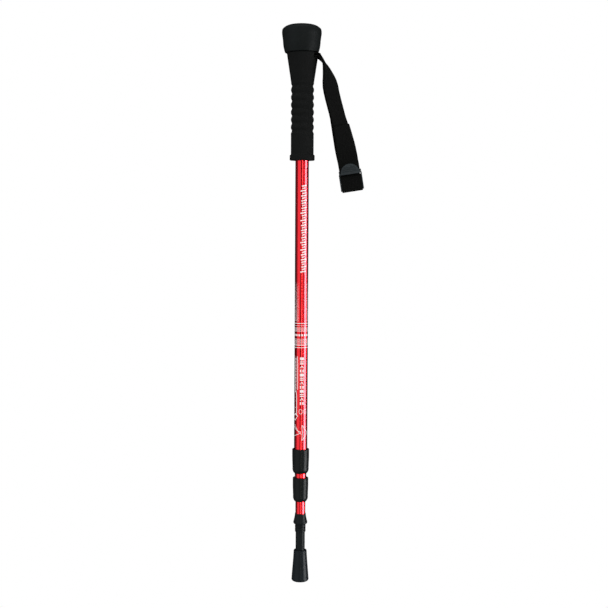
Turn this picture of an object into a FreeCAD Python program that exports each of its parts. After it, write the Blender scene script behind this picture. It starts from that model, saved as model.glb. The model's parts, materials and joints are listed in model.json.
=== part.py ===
import FreeCAD, Part
import math
import os

# Collapsible three-section pole with an anti-shock lower section, a foam grip and a wrist strap.
# Millimetres. The pole's axis is Z, the origin is the centre of the rubber foot's sole,
# and the strap leaves the grip towards +X. The pole is drawn pushed together and locked.

V = FreeCAD.Vector

# ---- clearances -----------------------------------------------------------------------------
SLIDE_GAP = 0.30         # radial gap between parts that slide past each other
FIT_GAP = 0.05           # radial running fit of an expander in its tube, or of a thread
SEAM_GAP = 0.4           # dark seam between the cap and the foam
FOOT_FIT = 0.10          # rubber to ferrule, radial

# ---- tubes: each runs inside the one above it -----------------------------------------------
UPPER_R = 8.0            # outside radius of the upper tube
TUBE_WALL = 0.7
UPPER_BORE = UPPER_R - TUBE_WALL
MIDDLE_R = UPPER_BORE - SLIDE_GAP
MIDDLE_BORE = MIDDLE_R - TUBE_WALL
LOWER_R = MIDDLE_BORE - SLIDE_GAP
LOWER_BORE = LOWER_R - TUBE_WALL
UPPER_BOTTOM = 136.0
UPPER_LENGTH = 490.0
UPPER_TOP = UPPER_BOTTOM + UPPER_LENGTH
MIDDLE_BOTTOM = UPPER_BOTTOM - 35.0
MIDDLE_TOP = UPPER_TOP - 61.0
LOWER_BOTTOM = MIDDLE_BOTTOM - 27.0
LOWER_TOP = MIDDLE_TOP - 113.0

# ---- grip, cap and core ---------------------------------------------------------------------
GRIP_R = 13.5            # plain lower stretch of the foam
CAP_BOTTOM = UPPER_TOP + 9.0
GRIP_BOTTOM = CAP_BOTTOM - 125.9
FLANGE_TOP = GRIP_BOTTOM + 6.5
FLANGE_R = GRIP_R + 1.3
FLARE_BOTTOM = CAP_BOTTOM - 34.8
GROOVE_COUNT = 7
GROOVE_PITCH = 8.7
GROOVE_DEPTH = 1.1
GROOVE_HALF = 2.6        # half the height of one groove
TOP_GROOVE_Z = FLARE_BOTTOM - 4.2
WEB_WIDTH = 24.0         # the strap's webbing
SLOT_WIDTH = WEB_WIDTH + 2.8
CORE_WALL = 1.6          # wall of the core on each side of the strap's slot
CORE_R = SLOT_WIDTH / 2 + CORE_WALL
CORE_TOP = CAP_BOTTOM + 19.0
CORE_PLUG_LENGTH = 12.0
GRIP_MOUTH_R = CORE_R + 3.75     # flared top of the foam, under the cap
CAP_MOUTH_R = GRIP_MOUTH_R + 1.2
CAP_R = CAP_MOUTH_R + 3.4        # widest radius of the cap
CAP_WIDE_Z = CAP_BOTTOM + 25.0
CAP_TOP = CAP_BOTTOM + 33.2
CROWN_R = CAP_R - 8.15           # edge of the cap's flatter dome
CROWN_RISE = 1.6
CAP_SHIFT = 1.1                  # the cap's outside sits off centre, away from the strap

# ---- strap and buckle -----------------------------------------------------------------------
WEB_THICK = 1.6
PIN_R = 1.5
PIN_X = 3.0
SLOT_Z = CAP_BOTTOM - 3.3        # height of the strap's slot and of the pin
SLOT_HALF = PIN_R + WEB_THICK + 0.3
NOTCH_DROP = 4.7         # the foam's notch below the slot
HINGE_X = GRIP_MOUTH_R + 0.05    # the strap bends where it leaves the grip
HINGE_GAP = 3.3
TAIL_DROP = 79.1         # cut end of the strap's free tail, below the slot
BAR_R = 1.0
SEWN_BAR_R = 1.1
BAR_GAP = 0.4            # webbing to the bar that turns in it
SEWN_BAR_DROP = 21.5     # from the middle bar down to the bar that the strap is sewn round
SEWN_FRONT_DROP = 4.4    # top of the sewn end's front layer
SEWN_BACK_DROP = 11.0    # top of its back layer
RAIL_THICK = 1.2
RAIL_GAP = 0.4
TAB_HALF = WEB_WIDTH / 2 - 0.8   # half width of the lifting tab at its root
TAB_DROP = 3.6           # root of the tab, below the middle bar
TAB_TOP = 8.6
TAB_THICK = 1.5

# ---- locks ----------------------------------------------------------------------------------
STUD_R = 3.0
ROD_R = 2.5
EXPANDER_LENGTH = 25.0
SPLIT_WIDTH = 0.8
SPLIT_COUNT = 4
CONE_LENGTH = 16.0
CONE_TRAVEL = 4.0
CONE_SLOPE = 0.14        # radius gained per millimetre of height
CONE_RIM = 0.9           # least wall between a cone's small end and its stud
STOP_THICK = 3.0
SEAT_BOTTOM = LOWER_TOP + 49.0
SEAT_THICK = 3.0
UPPER_LOCK = MIDDLE_TOP + 4.0            # bottom of the upper expander
LOWER_LOCK = SEAT_BOTTOM + 4.0
STOP_RISE = EXPANDER_LENGTH + CONE_TRAVEL + 5.0      # from an expander's bottom to its stop nut

# ---- collars --------------------------------------------------------------------------------
UPPER_COLLAR_BOTTOM = UPPER_BOTTOM - 2.8
UPPER_COLLAR_TOP = UPPER_BOTTOM + 27.0
UPPER_COLLAR_R = UPPER_R + 2.2
LOWER_COLLAR_BOTTOM = MIDDLE_BOTTOM - 2.4
LOWER_COLLAR_TOP = MIDDLE_BOTTOM + 26.8
LOWER_COLLAR_R = MIDDLE_R + 2.4

# ---- anti-shock unit ------------------------------------------------------------------------
SPRING_WIRE_R = 0.8
SPRING_R = ROD_R + 1.9   # mean radius of the coil
SPRING_TURNS = 8
GUIDE_LENGTH = 22.0
FLANGE_THICK = 3.0
RETAINER_LENGTH = 8.0

# ---- tip and foot ---------------------------------------------------------------------------
BELL_TOP_Z = LOWER_BOTTOM + 9.6
BELL_WIDE_Z = LOWER_BOTTOM - 1.1
BELL_BOTTOM_Z = LOWER_BOTTOM - 3.5
BELL_R = LOWER_R + 2.45
THREAD_R = LOWER_R + 0.45
THREAD_DEPTH = 0.55
THREAD_PITCH = 3.1
THREAD_BOTTOM = BELL_BOTTOM_Z - 9.3
STEM_R = LOWER_R - 0.4
SEAT_R = STEM_R - 0.25           # the stem steps down where the rubber foot sits on it
STEM_BOTTOM = 24.0
POINT_R = STEM_R - 2.2
TIP_BOTTOM = 17.0
CARBIDE_R = 2.0
CARBIDE_BOTTOM = TIP_BOTTOM - 5.0
CARBIDE_DEPTH = 13.0
FOOT_TOP = 38.2
FOOT_TOP_R = STEM_R + 2.32
FOOT_SOLE_R = STEM_R + 4.78
WASHER_R = POINT_R + 1.0         # the washer's seat clears the ferrule's point
WASHER_THICK = 1.6
WASHER_TOP = CARBIDE_BOTTOM - 0.4

nodes = {}


# ---- helpers --------------------------------------------------------------------------------
def turned(start, *moves):
    """Solid of revolution about Z. A move is the next (r, z) corner, or an arc
    given as ((r, z) on the arc, (r, z) at its end)."""
    edges = []
    here = V(start[0], 0, start[1])
    first = here
    for move in moves:
        if isinstance(move[0], tuple):
            through = V(move[0][0], 0, move[0][1])
            end = V(move[1][0], 0, move[1][1])
            edges.append(Part.Arc(here, through, end).toShape())
        else:
            end = V(move[0], 0, move[1])
            edges.append(Part.LineSegment(here, end).toShape())
        here = end
    if here.distanceToPoint(first) > 1e-6:
        edges.append(Part.LineSegment(here, first).toShape())
    face = Part.Face(Part.Wire(edges))
    return face.revolve(V(0, 0, 0), V(0, 0, 1), 360)


def ring(outer, inner, bottom, top):
    """Plain tube, washer or sleeve on the Z axis."""
    body = Part.makeCylinder(outer, top - bottom, V(0, 0, bottom))
    if inner > 0:
        body = body.cut(Part.makeCylinder(inner, top - bottom, V(0, 0, bottom)))
    return body


def box(x0, x1, y0, y1, z0, z1):
    return Part.makeBox(x1 - x0, y1 - y0, z1 - z0, V(x0, y0, z0))


def between(table, key):
    """Straight-line interpolation in a short (key, value) table with rising keys."""
    if key <= table[0][0]:
        return table[0][1]
    for (low, a), (high, b) in zip(table, table[1:]):
        if key <= high:
            return a + (b - a) * (key - low) / (high - low)
    return table[-1][1]


def ribbon(stations, width=WEB_WIDTH, thick=WEB_THICK):
    """Webbing: flat rectangles at each (centre, width direction, thickness direction)."""
    wires = []
    for centre, across, normal in stations:
        a = across * (width / 2)
        n = normal * (thick / 2)
        corners = [centre - a - n, centre + a - n, centre + a + n, centre - a + n]
        wires.append(Part.makePolygon(corners + corners[:1]))
    return Part.makeLoft(wires, True, True)


# ---- grip -----------------------------------------------------------------------------------
def foam_grip():
    foam_top = CAP_BOTTOM - SEAM_GAP
    crest = GRIP_R + 0.2                 # the soft ridge between two grooves
    root = GRIP_R - GROOVE_DEPTH
    moves = [(GRIP_MOUTH_R, foam_top), (GRIP_R, FLARE_BOTTOM), (GRIP_R, TOP_GROOVE_Z + GROOVE_HALF)]
    for k in range(GROOVE_COUNT):
        z = TOP_GROOVE_Z - k * GROOVE_PITCH
        moves.append(((root, z), (GRIP_R, z - GROOVE_HALF)))
        if k < GROOVE_COUNT - 1:
            moves.append(((crest, z - GROOVE_PITCH / 2), (GRIP_R, z - GROOVE_PITCH + GROOVE_HALF)))
    moves += [(GRIP_R, FLANGE_TOP + 1.2), ((GRIP_R + 0.5, FLANGE_TOP + 0.3), (FLANGE_R - 0.5, FLANGE_TOP)),
              (FLANGE_R, FLANGE_TOP - 0.6), (FLANGE_R, GRIP_BOTTOM + 0.6), (FLANGE_R - 0.6, GRIP_BOTTOM),
              (UPPER_R, GRIP_BOTTOM), (UPPER_R, UPPER_TOP), (CORE_R, UPPER_TOP)]
    foam = turned((CORE_R, foam_top), *moves)
    notch = box(PIN_X, GRIP_MOUTH_R + 5, -SLOT_WIDTH / 2, SLOT_WIDTH / 2, SLOT_Z - NOTCH_DROP, foam_top + 1)
    return foam.cut(notch)


def crown_middle(radius, edge_z, top_z):
    """Point half-way out on a domed top whose centre of curvature lies on the axis."""
    rise = top_z - edge_z
    curve_r = (radius ** 2 + rise ** 2) / (2 * rise)
    return radius / 2, top_z - curve_r + math.sqrt(curve_r ** 2 - radius ** 2 / 4)


def grip_cap():
    crown_z = CAP_TOP - CROWN_RISE
    shoulder_z = CAP_WIDE_Z + 2.0
    shoulder = ((CAP_R + CROWN_R) / 2, (shoulder_z + crown_z) / 2 + 0.7)
    outside = turned((0, CAP_BOTTOM), (CAP_MOUTH_R - 0.4, CAP_BOTTOM), (CAP_MOUTH_R, CAP_BOTTOM + 0.4),
                     ((CAP_MOUTH_R + 1.5, CAP_BOTTOM + 6.2), (CAP_R - 1.2, CAP_BOTTOM + 13.0)),
                     (CAP_R - 0.35, CAP_WIDE_Z - 5.4),
                     ((CAP_R, CAP_WIDE_Z - 1.2), (CAP_R - 0.5, shoulder_z)), (shoulder, (CROWN_R, crown_z)),
                     (crown_middle(CROWN_R, crown_z, CAP_TOP), (0, CAP_TOP)))
    outside.translate(V(-CAP_SHIFT, 0, 0))
    return outside.cut(ring(CORE_R, 0, CAP_BOTTOM, CORE_TOP))


def grip_core():
    head = ring(CORE_R, 0, UPPER_TOP, CORE_TOP)
    plug = ring(UPPER_BORE, 0, UPPER_TOP - CORE_PLUG_LENGTH, UPPER_TOP)
    slot = box(-PIN_X, CORE_R + 1, -SLOT_WIDTH / 2, SLOT_WIDTH / 2, SLOT_Z - SLOT_HALF, SLOT_Z + SLOT_HALF)
    pin_bore = Part.makeCylinder(PIN_R, 2 * CORE_R, V(PIN_X, -CORE_R, SLOT_Z), V(0, 1, 0))
    return head.fuse(plug).cut(slot).cut(pin_bore).removeSplitter()


def strap_pin():
    return Part.makeCylinder(PIN_R, 2 * CORE_R - 1.6, V(PIN_X, -CORE_R + 0.8, SLOT_Z), V(0, 1, 0))


def strap_anchor():
    """The bight of webbing round the pin, up to where the strap starts to swing."""
    outer = PIN_R + WEB_THICK
    half = WEB_WIDTH / 2
    roll = Part.makeCylinder(outer, WEB_WIDTH, V(PIN_X, -half, SLOT_Z), V(0, 1, 0))
    runs = box(PIN_X, HINGE_X - HINGE_GAP, -half, half, SLOT_Z - outer, SLOT_Z + outer)
    inside = box(PIN_X, HINGE_X, -half, half, SLOT_Z - PIN_R, SLOT_Z + PIN_R)
    bore = Part.makeCylinder(PIN_R, WEB_WIDTH, V(PIN_X, -half, SLOT_Z), V(0, 1, 0))
    return roll.fuse(runs).cut(inside).cut(bore).removeSplitter()


# ---- tubes and collars ----------------------------------------------------------------------
def collar(tube_r, lip_r, widest, bottom, top, tube_bottom):
    """Sleeve on the end of a tube, with a lip that guides the next tube."""
    waist = widest - 0.45
    return turned((tube_r, tube_bottom), (tube_r, top), (widest - 0.9, top),
                  ((widest - 0.25, top - 0.35), (widest, top - 1.4)), (widest, top - 10.0),
                  (waist, bottom + 6.5), ((waist - 0.75, bottom + 1.9), (waist - 2.1, bottom)),
                  (lip_r, bottom), (lip_r, tube_bottom))


# ---- twist locks ----------------------------------------------------------------------------
def expander(outer, bore, bottom):
    """Split sleeve with a conical mouth at its top."""
    top = bottom + EXPANDER_LENGTH
    small = bore + FIT_GAP
    cone_bottom = top - CONE_LENGTH + 3.0
    mouth = small + CONE_RIM + CONE_SLOPE * (top - cone_bottom)
    sleeve = turned((small, bottom), (outer - 0.6, bottom), (outer, bottom + 1.2), (outer, top),
                    (mouth, top), (small + CONE_RIM, cone_bottom), (small, cone_bottom))
    for k in range(SPLIT_COUNT):
        cut = box(0, outer + 1, -SPLIT_WIDTH / 2, SPLIT_WIDTH / 2, bottom + 7.0, top + 1)
        cut.rotate(V(0, 0, 0), V(0, 0, 1), 45 + 360 / SPLIT_COUNT * k)
        sleeve = sleeve.cut(cut)
    return sleeve


def wedge_cone(bore, expander_bottom):
    """Cone nut that spreads the sleeve when the stud draws it down."""
    top = expander_bottom + EXPANDER_LENGTH
    bottom = top - CONE_LENGTH + 3.5
    small = bore + FIT_GAP
    foot = small + CONE_RIM - 0.1 + CONE_SLOPE * 0.5
    head = foot + CONE_SLOPE * CONE_LENGTH
    return turned((small, bottom), (foot, bottom), (head, bottom + CONE_LENGTH),
                  (small, bottom + CONE_LENGTH))


def middle_plug():
    shaft = ring(MIDDLE_BORE, STUD_R, MIDDLE_TOP - 15.0, MIDDLE_TOP)
    head = ring(MIDDLE_R - 0.1, STUD_R, MIDDLE_TOP, MIDDLE_TOP + 2.0)
    return shaft.fuse(head).removeSplitter()


def stud(radius, bottom, top):
    return turned((0, bottom), (radius - 0.4, bottom), (radius, bottom + 0.4), (radius, top - 0.4),
                  (radius - 0.4, top), (0, top))


def hex_stop(across, bore, bottom):
    """Hexagon nut at the end of a stud, which keeps the cone on it."""
    points = []
    for k in range(7):
        turn = math.radians(60 * k)
        points.append(V(across * math.cos(turn), across * math.sin(turn), bottom))
    nut = Part.Face(Part.makePolygon(points)).extrude(V(0, 0, STOP_THICK))
    return nut.cut(Part.makeCylinder(bore, STOP_THICK, V(0, 0, bottom)))


# ---- anti-shock unit ------------------------------------------------------------------------
def shock_guide():
    """Bush in the head of the lower tube: the rod slides in it and the spring stands on it."""
    bore = ROD_R + FIT_GAP
    shaft = ring(LOWER_BORE, bore, LOWER_TOP - GUIDE_LENGTH, LOWER_TOP)
    flange = ring(LOWER_R, bore, LOWER_TOP, LOWER_TOP + FLANGE_THICK)
    return shaft.fuse(flange).removeSplitter()


def shock_spring():
    bottom = LOWER_TOP + FLANGE_THICK + SPRING_WIRE_R + FIT_GAP
    height = SEAT_BOTTOM - FIT_GAP - SPRING_WIRE_R - bottom
    helix = Part.makeHelix(height / SPRING_TURNS, height, SPRING_R)
    section = Part.Wire([Part.makeCircle(SPRING_WIRE_R, V(SPRING_R, 0, 0), V(0, 1, 0))])
    coil = Part.Wire(helix).makePipeShell([section], True, True)
    coil.translate(V(0, 0, bottom))
    return coil


def rod_retainer():
    top = LOWER_TOP - GUIDE_LENGTH - 0.1
    bottom = top - RETAINER_LENGTH
    rim = ROD_R + 1.9
    return turned((ROD_R, bottom), (rim - 0.4, bottom), (rim, bottom + 0.4), (rim, top), (ROD_R, top))


# ---- tip and foot ---------------------------------------------------------------------------
def tip_ferrule():
    spigot_top = LOWER_BOTTOM + 20.0
    solid = turned((0, spigot_top), (LOWER_BORE - 0.5, spigot_top), (LOWER_BORE, spigot_top - 0.8),
                   (LOWER_BORE, LOWER_BOTTOM), (LOWER_R, LOWER_BOTTOM), (LOWER_R, BELL_TOP_Z),
                   (LOWER_R + 0.45, BELL_TOP_Z),
                   ((LOWER_R + 1.15, BELL_TOP_Z - 5.0), (BELL_R, BELL_WIDE_Z + 0.5)),
                   ((BELL_R + 0.05, BELL_WIDE_Z - 0.4), (BELL_R - 0.5, BELL_BOTTOM_Z + 0.6)),
                   (THREAD_R + 0.4, BELL_BOTTOM_Z), (THREAD_R, BELL_BOTTOM_Z),
                   (THREAD_R, THREAD_BOTTOM), (STEM_R, THREAD_BOTTOM - 0.5),
                   (STEM_R, FOOT_TOP + 0.3), (SEAT_R, FOOT_TOP + 0.3),
                   (SEAT_R, STEM_BOTTOM), (POINT_R, STEM_BOTTOM - 4.0), (POINT_R, TIP_BOTTOM),
                   (CARBIDE_R, TIP_BOTTOM), (CARBIDE_R, TIP_BOTTOM + CARBIDE_DEPTH),
                   (0, TIP_BOTTOM + CARBIDE_DEPTH))
    return solid.cut(thread_groove())


def thread_groove():
    """Helical groove between the thread's crests: a basket screws on here."""
    height = BELL_BOTTOM_Z - THREAD_BOTTOM + 2 * THREAD_PITCH
    bottom = THREAD_BOTTOM - THREAD_PITCH
    helix = Part.makeHelix(THREAD_PITCH, height, THREAD_R)
    outside = THREAD_R + 0.5
    root = THREAD_R - THREAD_DEPTH
    outline = [V(outside, 0, -0.65), V(root, 0, -0.3), V(root, 0, 0.3), V(outside, 0, 0.65)]
    groove = Part.Wire(helix).makePipeShell([Part.makePolygon(outline + outline[:1])], True, True)
    groove.translate(V(0, 0, bottom))
    band = ring(THREAD_R + 2, THREAD_R - 2, THREAD_BOTTOM + 1.0, BELL_BOTTOM_Z - 1.0)
    return groove.common(band)


def carbide_tip():
    return turned((0, CARBIDE_BOTTOM), (CARBIDE_R - 0.5, CARBIDE_BOTTOM), (CARBIDE_R, CARBIDE_BOTTOM + 0.5),
                  (CARBIDE_R, TIP_BOTTOM + CARBIDE_DEPTH), (0, TIP_BOTTOM + CARBIDE_DEPTH))


def rubber_foot():
    floor = WASHER_TOP - WASHER_THICK
    return turned((0, 0), (FOOT_SOLE_R - 2.4, 0), ((FOOT_SOLE_R - 0.55, 0.75), (FOOT_SOLE_R, 2.8)),
                  ((FOOT_SOLE_R - 0.93, 15.0), (FOOT_TOP_R + 0.53, FOOT_TOP - 10.7)),
                  ((FOOT_TOP_R + 0.18, FOOT_TOP - 4.7), (FOOT_TOP_R, FOOT_TOP - 1.0)),
                  ((FOOT_TOP_R - 0.35, FOOT_TOP - 0.2), (FOOT_TOP_R - 1.0, FOOT_TOP)),
                  (SEAT_R + FOOT_FIT, FOOT_TOP), (SEAT_R + FOOT_FIT, STEM_BOTTOM - 0.4),
                  (WASHER_R, STEM_BOTTOM - 3.0), (WASHER_R, floor), (0, floor))


# ---- strap ----------------------------------------------------------------------------------
# Centre line of the two legs together, from the slot to the buckle's middle bar: (out, drop).
STRAP_ROUTE = [(0, 0), (6.4, 8.1), (11.8, 23.7), (15.7, 43.7), (22.7, 70.2), (29.1, 96.2), (35.1, 122.1),
               (37.5, 135.2)]
# Turn of the webbing's width out of the XZ plane, in degrees, at a drop below the slot.
STRAP_TURN = [(0, 90), (8, 85), (15, 73), (22, 62), (29, 50), (36, 43), (71, 43), (85, 34), (99, 24),
              (113, 8), (124, 1), (136, 0)]
# Half the distance between the two legs' middles, at a drop below the slot.
HALF_SPREAD = [(0, PIN_R + WEB_THICK / 2), (3, 1.6), (6, 1.1), (14, 1.0), (72, 1.0), (85, 1.2), (99, 1.7),
               (113, 2.8), (124, 3.6), (136, 3.8)]
STRAP_STEPS = 24


def strap_curve():
    curve = Part.BSplineCurve()
    curve.interpolate([V(HINGE_X + out, 0, SLOT_Z - drop) for out, drop in STRAP_ROUTE])
    return curve


def strap_frame(curve, share):
    """Centre, direction along, width direction and outward normal of the strap."""
    first, last = curve.FirstParameter, curve.LastParameter
    at = first + (last - first) * share
    centre = curve.value(at)
    along = curve.tangent(at)[0]
    turn = math.radians(between(STRAP_TURN, SLOT_Z - centre.z))
    in_plane = V(0, 1, 0).cross(along) * -1
    if in_plane.x < 0:
        in_plane = in_plane * -1
    across = in_plane * math.cos(turn) + V(0, 1, 0) * math.sin(turn)
    return centre, along, across, along.cross(across)


def leg(curve, side, extra=0.0):
    """Stations of one leg: side is +1 for the front leg and -1 for the back leg."""
    stations = []
    for k in range(STRAP_STEPS + 1):
        centre, along, across, normal = strap_frame(curve, k / STRAP_STEPS)
        offset = side * between(HALF_SPREAD, SLOT_Z - centre.z) + extra
        stations.append((centre + normal * offset, across, normal))
    return stations


CURVE = strap_curve()
BAR_TO_WEB = BAR_R + BAR_GAP + WEB_THICK / 2       # middle bar's centre to the webbing's middle
END_CENTRE, END_ALONG, END_ACROSS, END_NORMAL = strap_frame(CURVE, 1.0)
BAR_CENTRE = END_CENTRE + END_NORMAL * (HALF_SPREAD[-1][1] + BAR_TO_WEB)


def local(up, front):
    """Point beside the middle bar: up along the strap, and out towards the front."""
    return BAR_CENTRE - END_ALONG * up + END_NORMAL * front


def turn_stations(up, front, radius, first, last, steps=8):
    """Stations round an arc across the strap, angles from straight up, turning to the front."""
    stations = []
    for k in range(steps + 1):
        a = math.radians(first + (last - first) * k / steps)
        normal = END_ALONG * -math.cos(a) + END_NORMAL * math.sin(a)
        stations.append((local(up + radius * math.cos(a), front + radius * math.sin(a)), END_ACROSS, normal))
    return stations


def wrist_strap():
    """Front leg to the buckle's middle bar, and back leg to where it drops to the sewn end."""
    front = ribbon(leg(CURVE, 1))
    depth = 2 * HALF_SPREAD[-1][1] + BAR_TO_WEB
    path = leg(CURVE, -1)
    for up, inward, lean in ((-2.0, 0.7, 20), (-4.0, 1.9, 35), (-5.6, 3.4, 45)):
        a = math.radians(lean)
        normal = END_NORMAL * math.cos(a) + END_ALONG * -math.sin(a)
        path.append((local(up, inward - depth), END_ACROSS, normal))
    return Part.makeCompound([front, ribbon(path)])


def strap_tail():
    """Webbing from behind the middle bar, round it to the front and up to its cut end."""
    beside = WEB_THICK + 0.2
    path = turn_stations(0, 0, BAR_TO_WEB, 270, 90)
    for up, front in ((2.6, 1.95), (5.0, 1.0), (8.0, 0.3)):
        path.append((local(up, front), END_ACROSS, END_NORMAL))
    for place, across, normal in reversed(leg(CURVE, 1, beside)):
        if BAR_CENTRE.z + 11 < place.z < SLOT_Z - TAIL_DROP + 0.5:
            path.append((place, across, normal))
    return ribbon(path)


def placed(shape):
    """Moves a shape drawn about the middle bar (X across, -Y front, Z up) to its place."""
    back = END_NORMAL * -1
    up = END_ALONG * -1
    shape.Placement = FreeCAD.Placement(FreeCAD.Matrix(
        END_ACROSS.x, back.x, up.x, BAR_CENTRE.x,
        END_ACROSS.y, back.y, up.y, BAR_CENTRE.y,
        END_ACROSS.z, back.z, up.z, BAR_CENTRE.z,
        0, 0, 0, 1))
    return shape


def plate(points, front, back):
    """Flat plate from (across, up) corners, between two distances in front of the bars."""
    outline = Part.makePolygon([V(u, -front, up) for u, up in points + points[:1]])
    return Part.Face(outline).extrude(V(0, front - back, 0))


def strap_buckle():
    """Frame with two bars, and a half-moon tab in front that lifts to let the strap run."""
    inner = WEB_WIDTH / 2 + RAIL_GAP
    outer = inner + RAIL_THICK
    tab_back = BAR_R + BAR_GAP + WEB_THICK + 0.3
    tab_front = tab_back + TAB_THICK
    shoulder = TAB_DROP - 1.6
    ear_half = outer - 0.5
    foot = SEWN_BAR_DROP + SEWN_BAR_R
    frame = None
    for side in (-1, 1):
        rail = [(side * inner, -foot), (side * outer, -foot),
                (side * outer, -TAB_DROP), (side * inner, -TAB_DROP)]
        ear = [(side * inner, -TAB_DROP), (side * outer, -TAB_DROP), (side * ear_half, -shoulder),
               (side * ear_half, BAR_R), (side * inner, BAR_R)]
        half = plate(rail, SEWN_BAR_R + WEB_THICK, -SEWN_BAR_R).fuse(plate(ear, tab_front, -SEWN_BAR_R))
        frame = half if frame is None else frame.fuse(half)
    for radius, drop in ((BAR_R, 0), (SEWN_BAR_R, SEWN_BAR_DROP)):
        frame = frame.fuse(Part.makeCylinder(radius, 2 * inner + 0.4, V(-inner - 0.2, 0, -drop), V(1, 0, 0)))
    root = plate([(-inner, -TAB_DROP), (inner, -TAB_DROP), (inner, -shoulder), (-inner, -shoulder)],
                 tab_front, tab_back)
    base = Part.makeLine(V(-TAB_HALF, -tab_front, -shoulder), V(TAB_HALF, -tab_front, -shoulder))
    crown = Part.Arc(V(TAB_HALF, -tab_front, -shoulder), V(0, -tab_front, TAB_TOP),
                     V(-TAB_HALF, -tab_front, -shoulder)).toShape()
    tab = Part.Face(Part.Wire([base, crown])).extrude(V(0, TAB_THICK, 0))
    frame = frame.fuse(root).fuse(tab)
    for up, half in ((0.2, 9.4), (2.6, 8.4), (5.0, 6.4)):
        rib = Part.makeCylinder(0.55, 2 * half, V(-half, -tab_front, up), V(1, 0, 0))
        frame = frame.fuse(rib)
    return placed(frame.removeSplitter())


def strap_sewn_end():
    """The strap's fixed end: up behind, under the buckle's lower bar and up in front of it."""
    half = WEB_WIDTH / 2
    outer = SEWN_BAR_R + WEB_THICK
    roll = Part.makeCylinder(outer, WEB_WIDTH, V(-half, 0, -SEWN_BAR_DROP), V(1, 0, 0))
    front = box(-half, half, -outer, -SEWN_BAR_R, -SEWN_BAR_DROP, -SEWN_FRONT_DROP)
    back = box(-half, half, SEWN_BAR_R, outer, -SEWN_BAR_DROP, -SEWN_BACK_DROP)
    above = box(-half, half, -SEWN_BAR_R, SEWN_BAR_R, -SEWN_BAR_DROP, 0)
    bore = Part.makeCylinder(SEWN_BAR_R, WEB_WIDTH, V(-half, 0, -SEWN_BAR_DROP), V(1, 0, 0))
    return placed(roll.fuse(front).fuse(back).cut(above).cut(bore).removeSplitter())


# ---- build ----------------------------------------------------------------------------------
nodes["foam_grip"] = foam_grip()
nodes["grip_cap"] = grip_cap()
nodes["grip_core"] = grip_core()
nodes["strap_pin"] = strap_pin()
nodes["strap_anchor"] = strap_anchor()
nodes["upper_tube"] = ring(UPPER_R, UPPER_BORE, UPPER_BOTTOM, UPPER_TOP)
nodes["upper_collar"] = collar(UPPER_R, MIDDLE_R + SLIDE_GAP, UPPER_COLLAR_R, UPPER_COLLAR_BOTTOM,
                               UPPER_COLLAR_TOP, UPPER_BOTTOM)
nodes["upper_expander"] = expander(UPPER_BORE - FIT_GAP, STUD_R, UPPER_LOCK)
nodes["upper_cone"] = wedge_cone(STUD_R, UPPER_LOCK)
nodes["middle_plug"] = middle_plug()
nodes["upper_stud"] = stud(STUD_R, MIDDLE_TOP - 12.0, UPPER_LOCK + STOP_RISE + STOP_THICK + 1.0)
nodes["upper_stop"] = hex_stop(STUD_R + 2.6, STUD_R, UPPER_LOCK + STOP_RISE)
nodes["middle_tube"] = ring(MIDDLE_R, MIDDLE_BORE, MIDDLE_BOTTOM, MIDDLE_TOP)
nodes["lower_collar"] = collar(MIDDLE_R, LOWER_R + SLIDE_GAP, LOWER_COLLAR_R, LOWER_COLLAR_BOTTOM,
                               LOWER_COLLAR_TOP, MIDDLE_BOTTOM)
nodes["lower_expander"] = expander(MIDDLE_BORE - FIT_GAP, ROD_R, LOWER_LOCK)
nodes["lower_cone"] = wedge_cone(ROD_R, LOWER_LOCK)
nodes["shock_rod"] = stud(ROD_R, LOWER_TOP - GUIDE_LENGTH - RETAINER_LENGTH - 0.1,
                          LOWER_LOCK + STOP_RISE + STOP_THICK + 1.0)
nodes["lower_stop"] = hex_stop(ROD_R + 2.3, ROD_R, LOWER_LOCK + STOP_RISE)
nodes["spring_seat"] = ring(LOWER_R, ROD_R, SEAT_BOTTOM, SEAT_BOTTOM + SEAT_THICK)
nodes["rod_retainer"] = rod_retainer()
nodes["shock_spring"] = shock_spring()
nodes["shock_guide"] = shock_guide()
nodes["lower_tube"] = ring(LOWER_R, LOWER_BORE, LOWER_BOTTOM, LOWER_TOP)
nodes["tip_ferrule"] = tip_ferrule()
nodes["carbide_tip"] = carbide_tip()
nodes["rubber_foot"] = rubber_foot()
nodes["foot_washer"] = ring(WASHER_R, 0, WASHER_TOP - WASHER_THICK, WASHER_TOP)
nodes["wrist_strap"] = wrist_strap()
nodes["strap_tail"] = strap_tail()
nodes["strap_buckle"] = strap_buckle()
nodes["strap_sewn_end"] = strap_sewn_end()

os.makedirs("parts", exist_ok=True)
for name, shape in nodes.items():
    shape.exportStep("parts/" + name + ".step")
    print(name, "valid" if shape.isValid() else "INVALID", len(shape.Solids), round(shape.Volume, 1))

print("strap hinge", HINGE_X, 0, SLOT_Z)
print("buckle hinge at", [round(c, 3) for c in BAR_CENTRE], "axis", [round(c, 5) for c in END_ACROSS])
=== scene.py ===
import bpy
import bmesh
import json
import math
from mathutils import Matrix, Vector


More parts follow.
